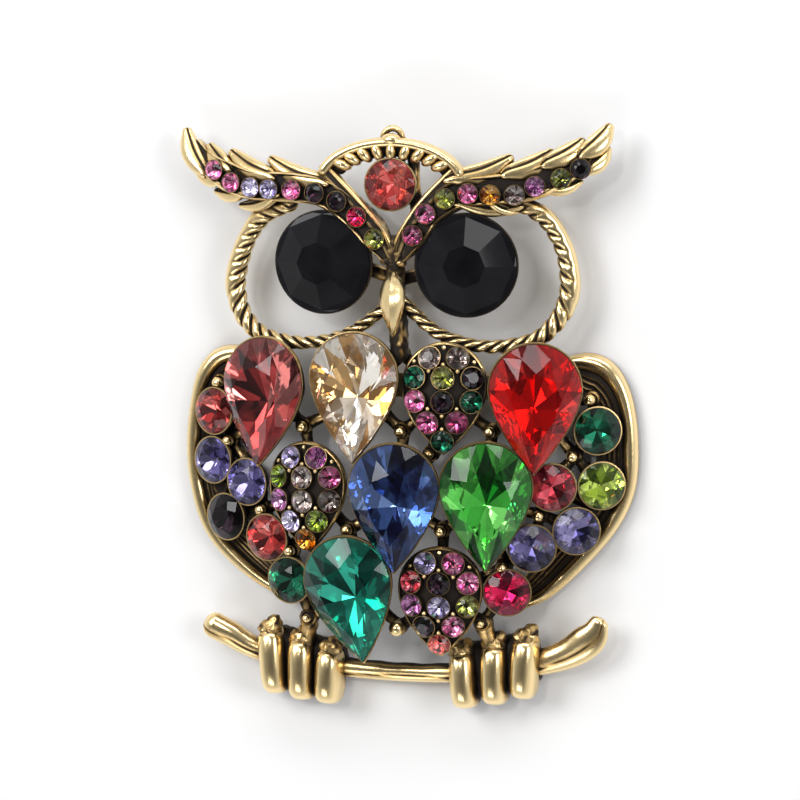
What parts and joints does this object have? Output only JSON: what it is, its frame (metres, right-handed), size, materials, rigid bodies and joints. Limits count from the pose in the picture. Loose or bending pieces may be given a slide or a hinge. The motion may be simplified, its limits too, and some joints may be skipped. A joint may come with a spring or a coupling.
{
  "type": "owl brooch",
  "caption": "Openwork owl brooch in antiqued cast metal, set with faceted pear, round and small pave stones, with a perch and a pin back.",
  "frame": {"origin": "below the middle of the brooch's bounding box, on the surface that its back rests on", "axes": "+X to the viewer's right, +Y from the feet to the ears, +Z from the back to the viewer"},
  "size_m": [0.0516, 0.0648, 0.0117],
  "materials": {
    "antique_gold": "antiqued, dark in the recesses",
    "pin_gold": "satin",
    "jet": "faceted jet glass",
    "garnet": "faceted, foil backed",
    "champagne": "faceted, foil backed",
    "siam_red": "faceted, foil backed",
    "sapphire": "faceted, foil backed",
    "fern_green": "faceted, foil backed",
    "emerald": "faceted, foil backed",
    "coral": "faceted, foil backed",
    "violet": "faceted, foil backed",
    "plum_black": "faceted, foil backed",
    "dark_green": "faceted, foil backed",
    "peridot": "faceted, foil backed",
    "rose": "faceted, foil backed",
    "tanzanite": "faceted, foil backed",
    "ruby": "faceted, foil backed",
    "pink": "faceted, foil backed",
    "lavender": "faceted, foil backed",
    "amethyst": "faceted, foil backed",
    "smoky": "faceted, foil backed",
    "olive": "faceted, foil backed",
    "amber": "faceted, foil backed"
  },
  "bodies": {
    "root": {"casting": "antique_gold", "pin": "pin_gold", "eye_left": "jet", "eye_right": "jet", "forehead_stone": "coral", "pear_1": "garnet", "pear_2": "champagne", "pear_3": "siam_red", "pear_4": "sapphire", "pear_5": "fern_green", "pear_6": "emerald", "side_left_1": "coral", "side_left_2": "violet", "side_left_3": "violet", "side_left_4": "plum_black", "side_left_5": "coral", "side_left_6": "dark_green", "side_right_1": "dark_green", "side_right_2": "peridot", "side_right_3": "rose", "side_right_4": "tanzanite", "side_right_5": "tanzanite", "side_right_6": "ruby", "brow_left_1": "pink", "brow_left_2": "pink", "brow_left_3": "lavender", "brow_left_4": "lavender", "brow_left_5": "pink", "brow_left_6": "plum_black", "brow_left_7": "plum_black", "brow_left_8": "ruby", "brow_left_9": "olive", "brow_right_1": "pink", "brow_right_2": "pink", "brow_right_3": "olive", "brow_right_4": "pink", "brow_right_5": "amber", "brow_right_6": "smoky", "brow_right_7": "amethyst", "brow_right_8": "olive", "brow_right_9": "plum_black", "drop_stones_1": "amethyst", "drop_stones_2": "smoky", "drop_stones_3": "rose"}
  },
  "joints": []
}
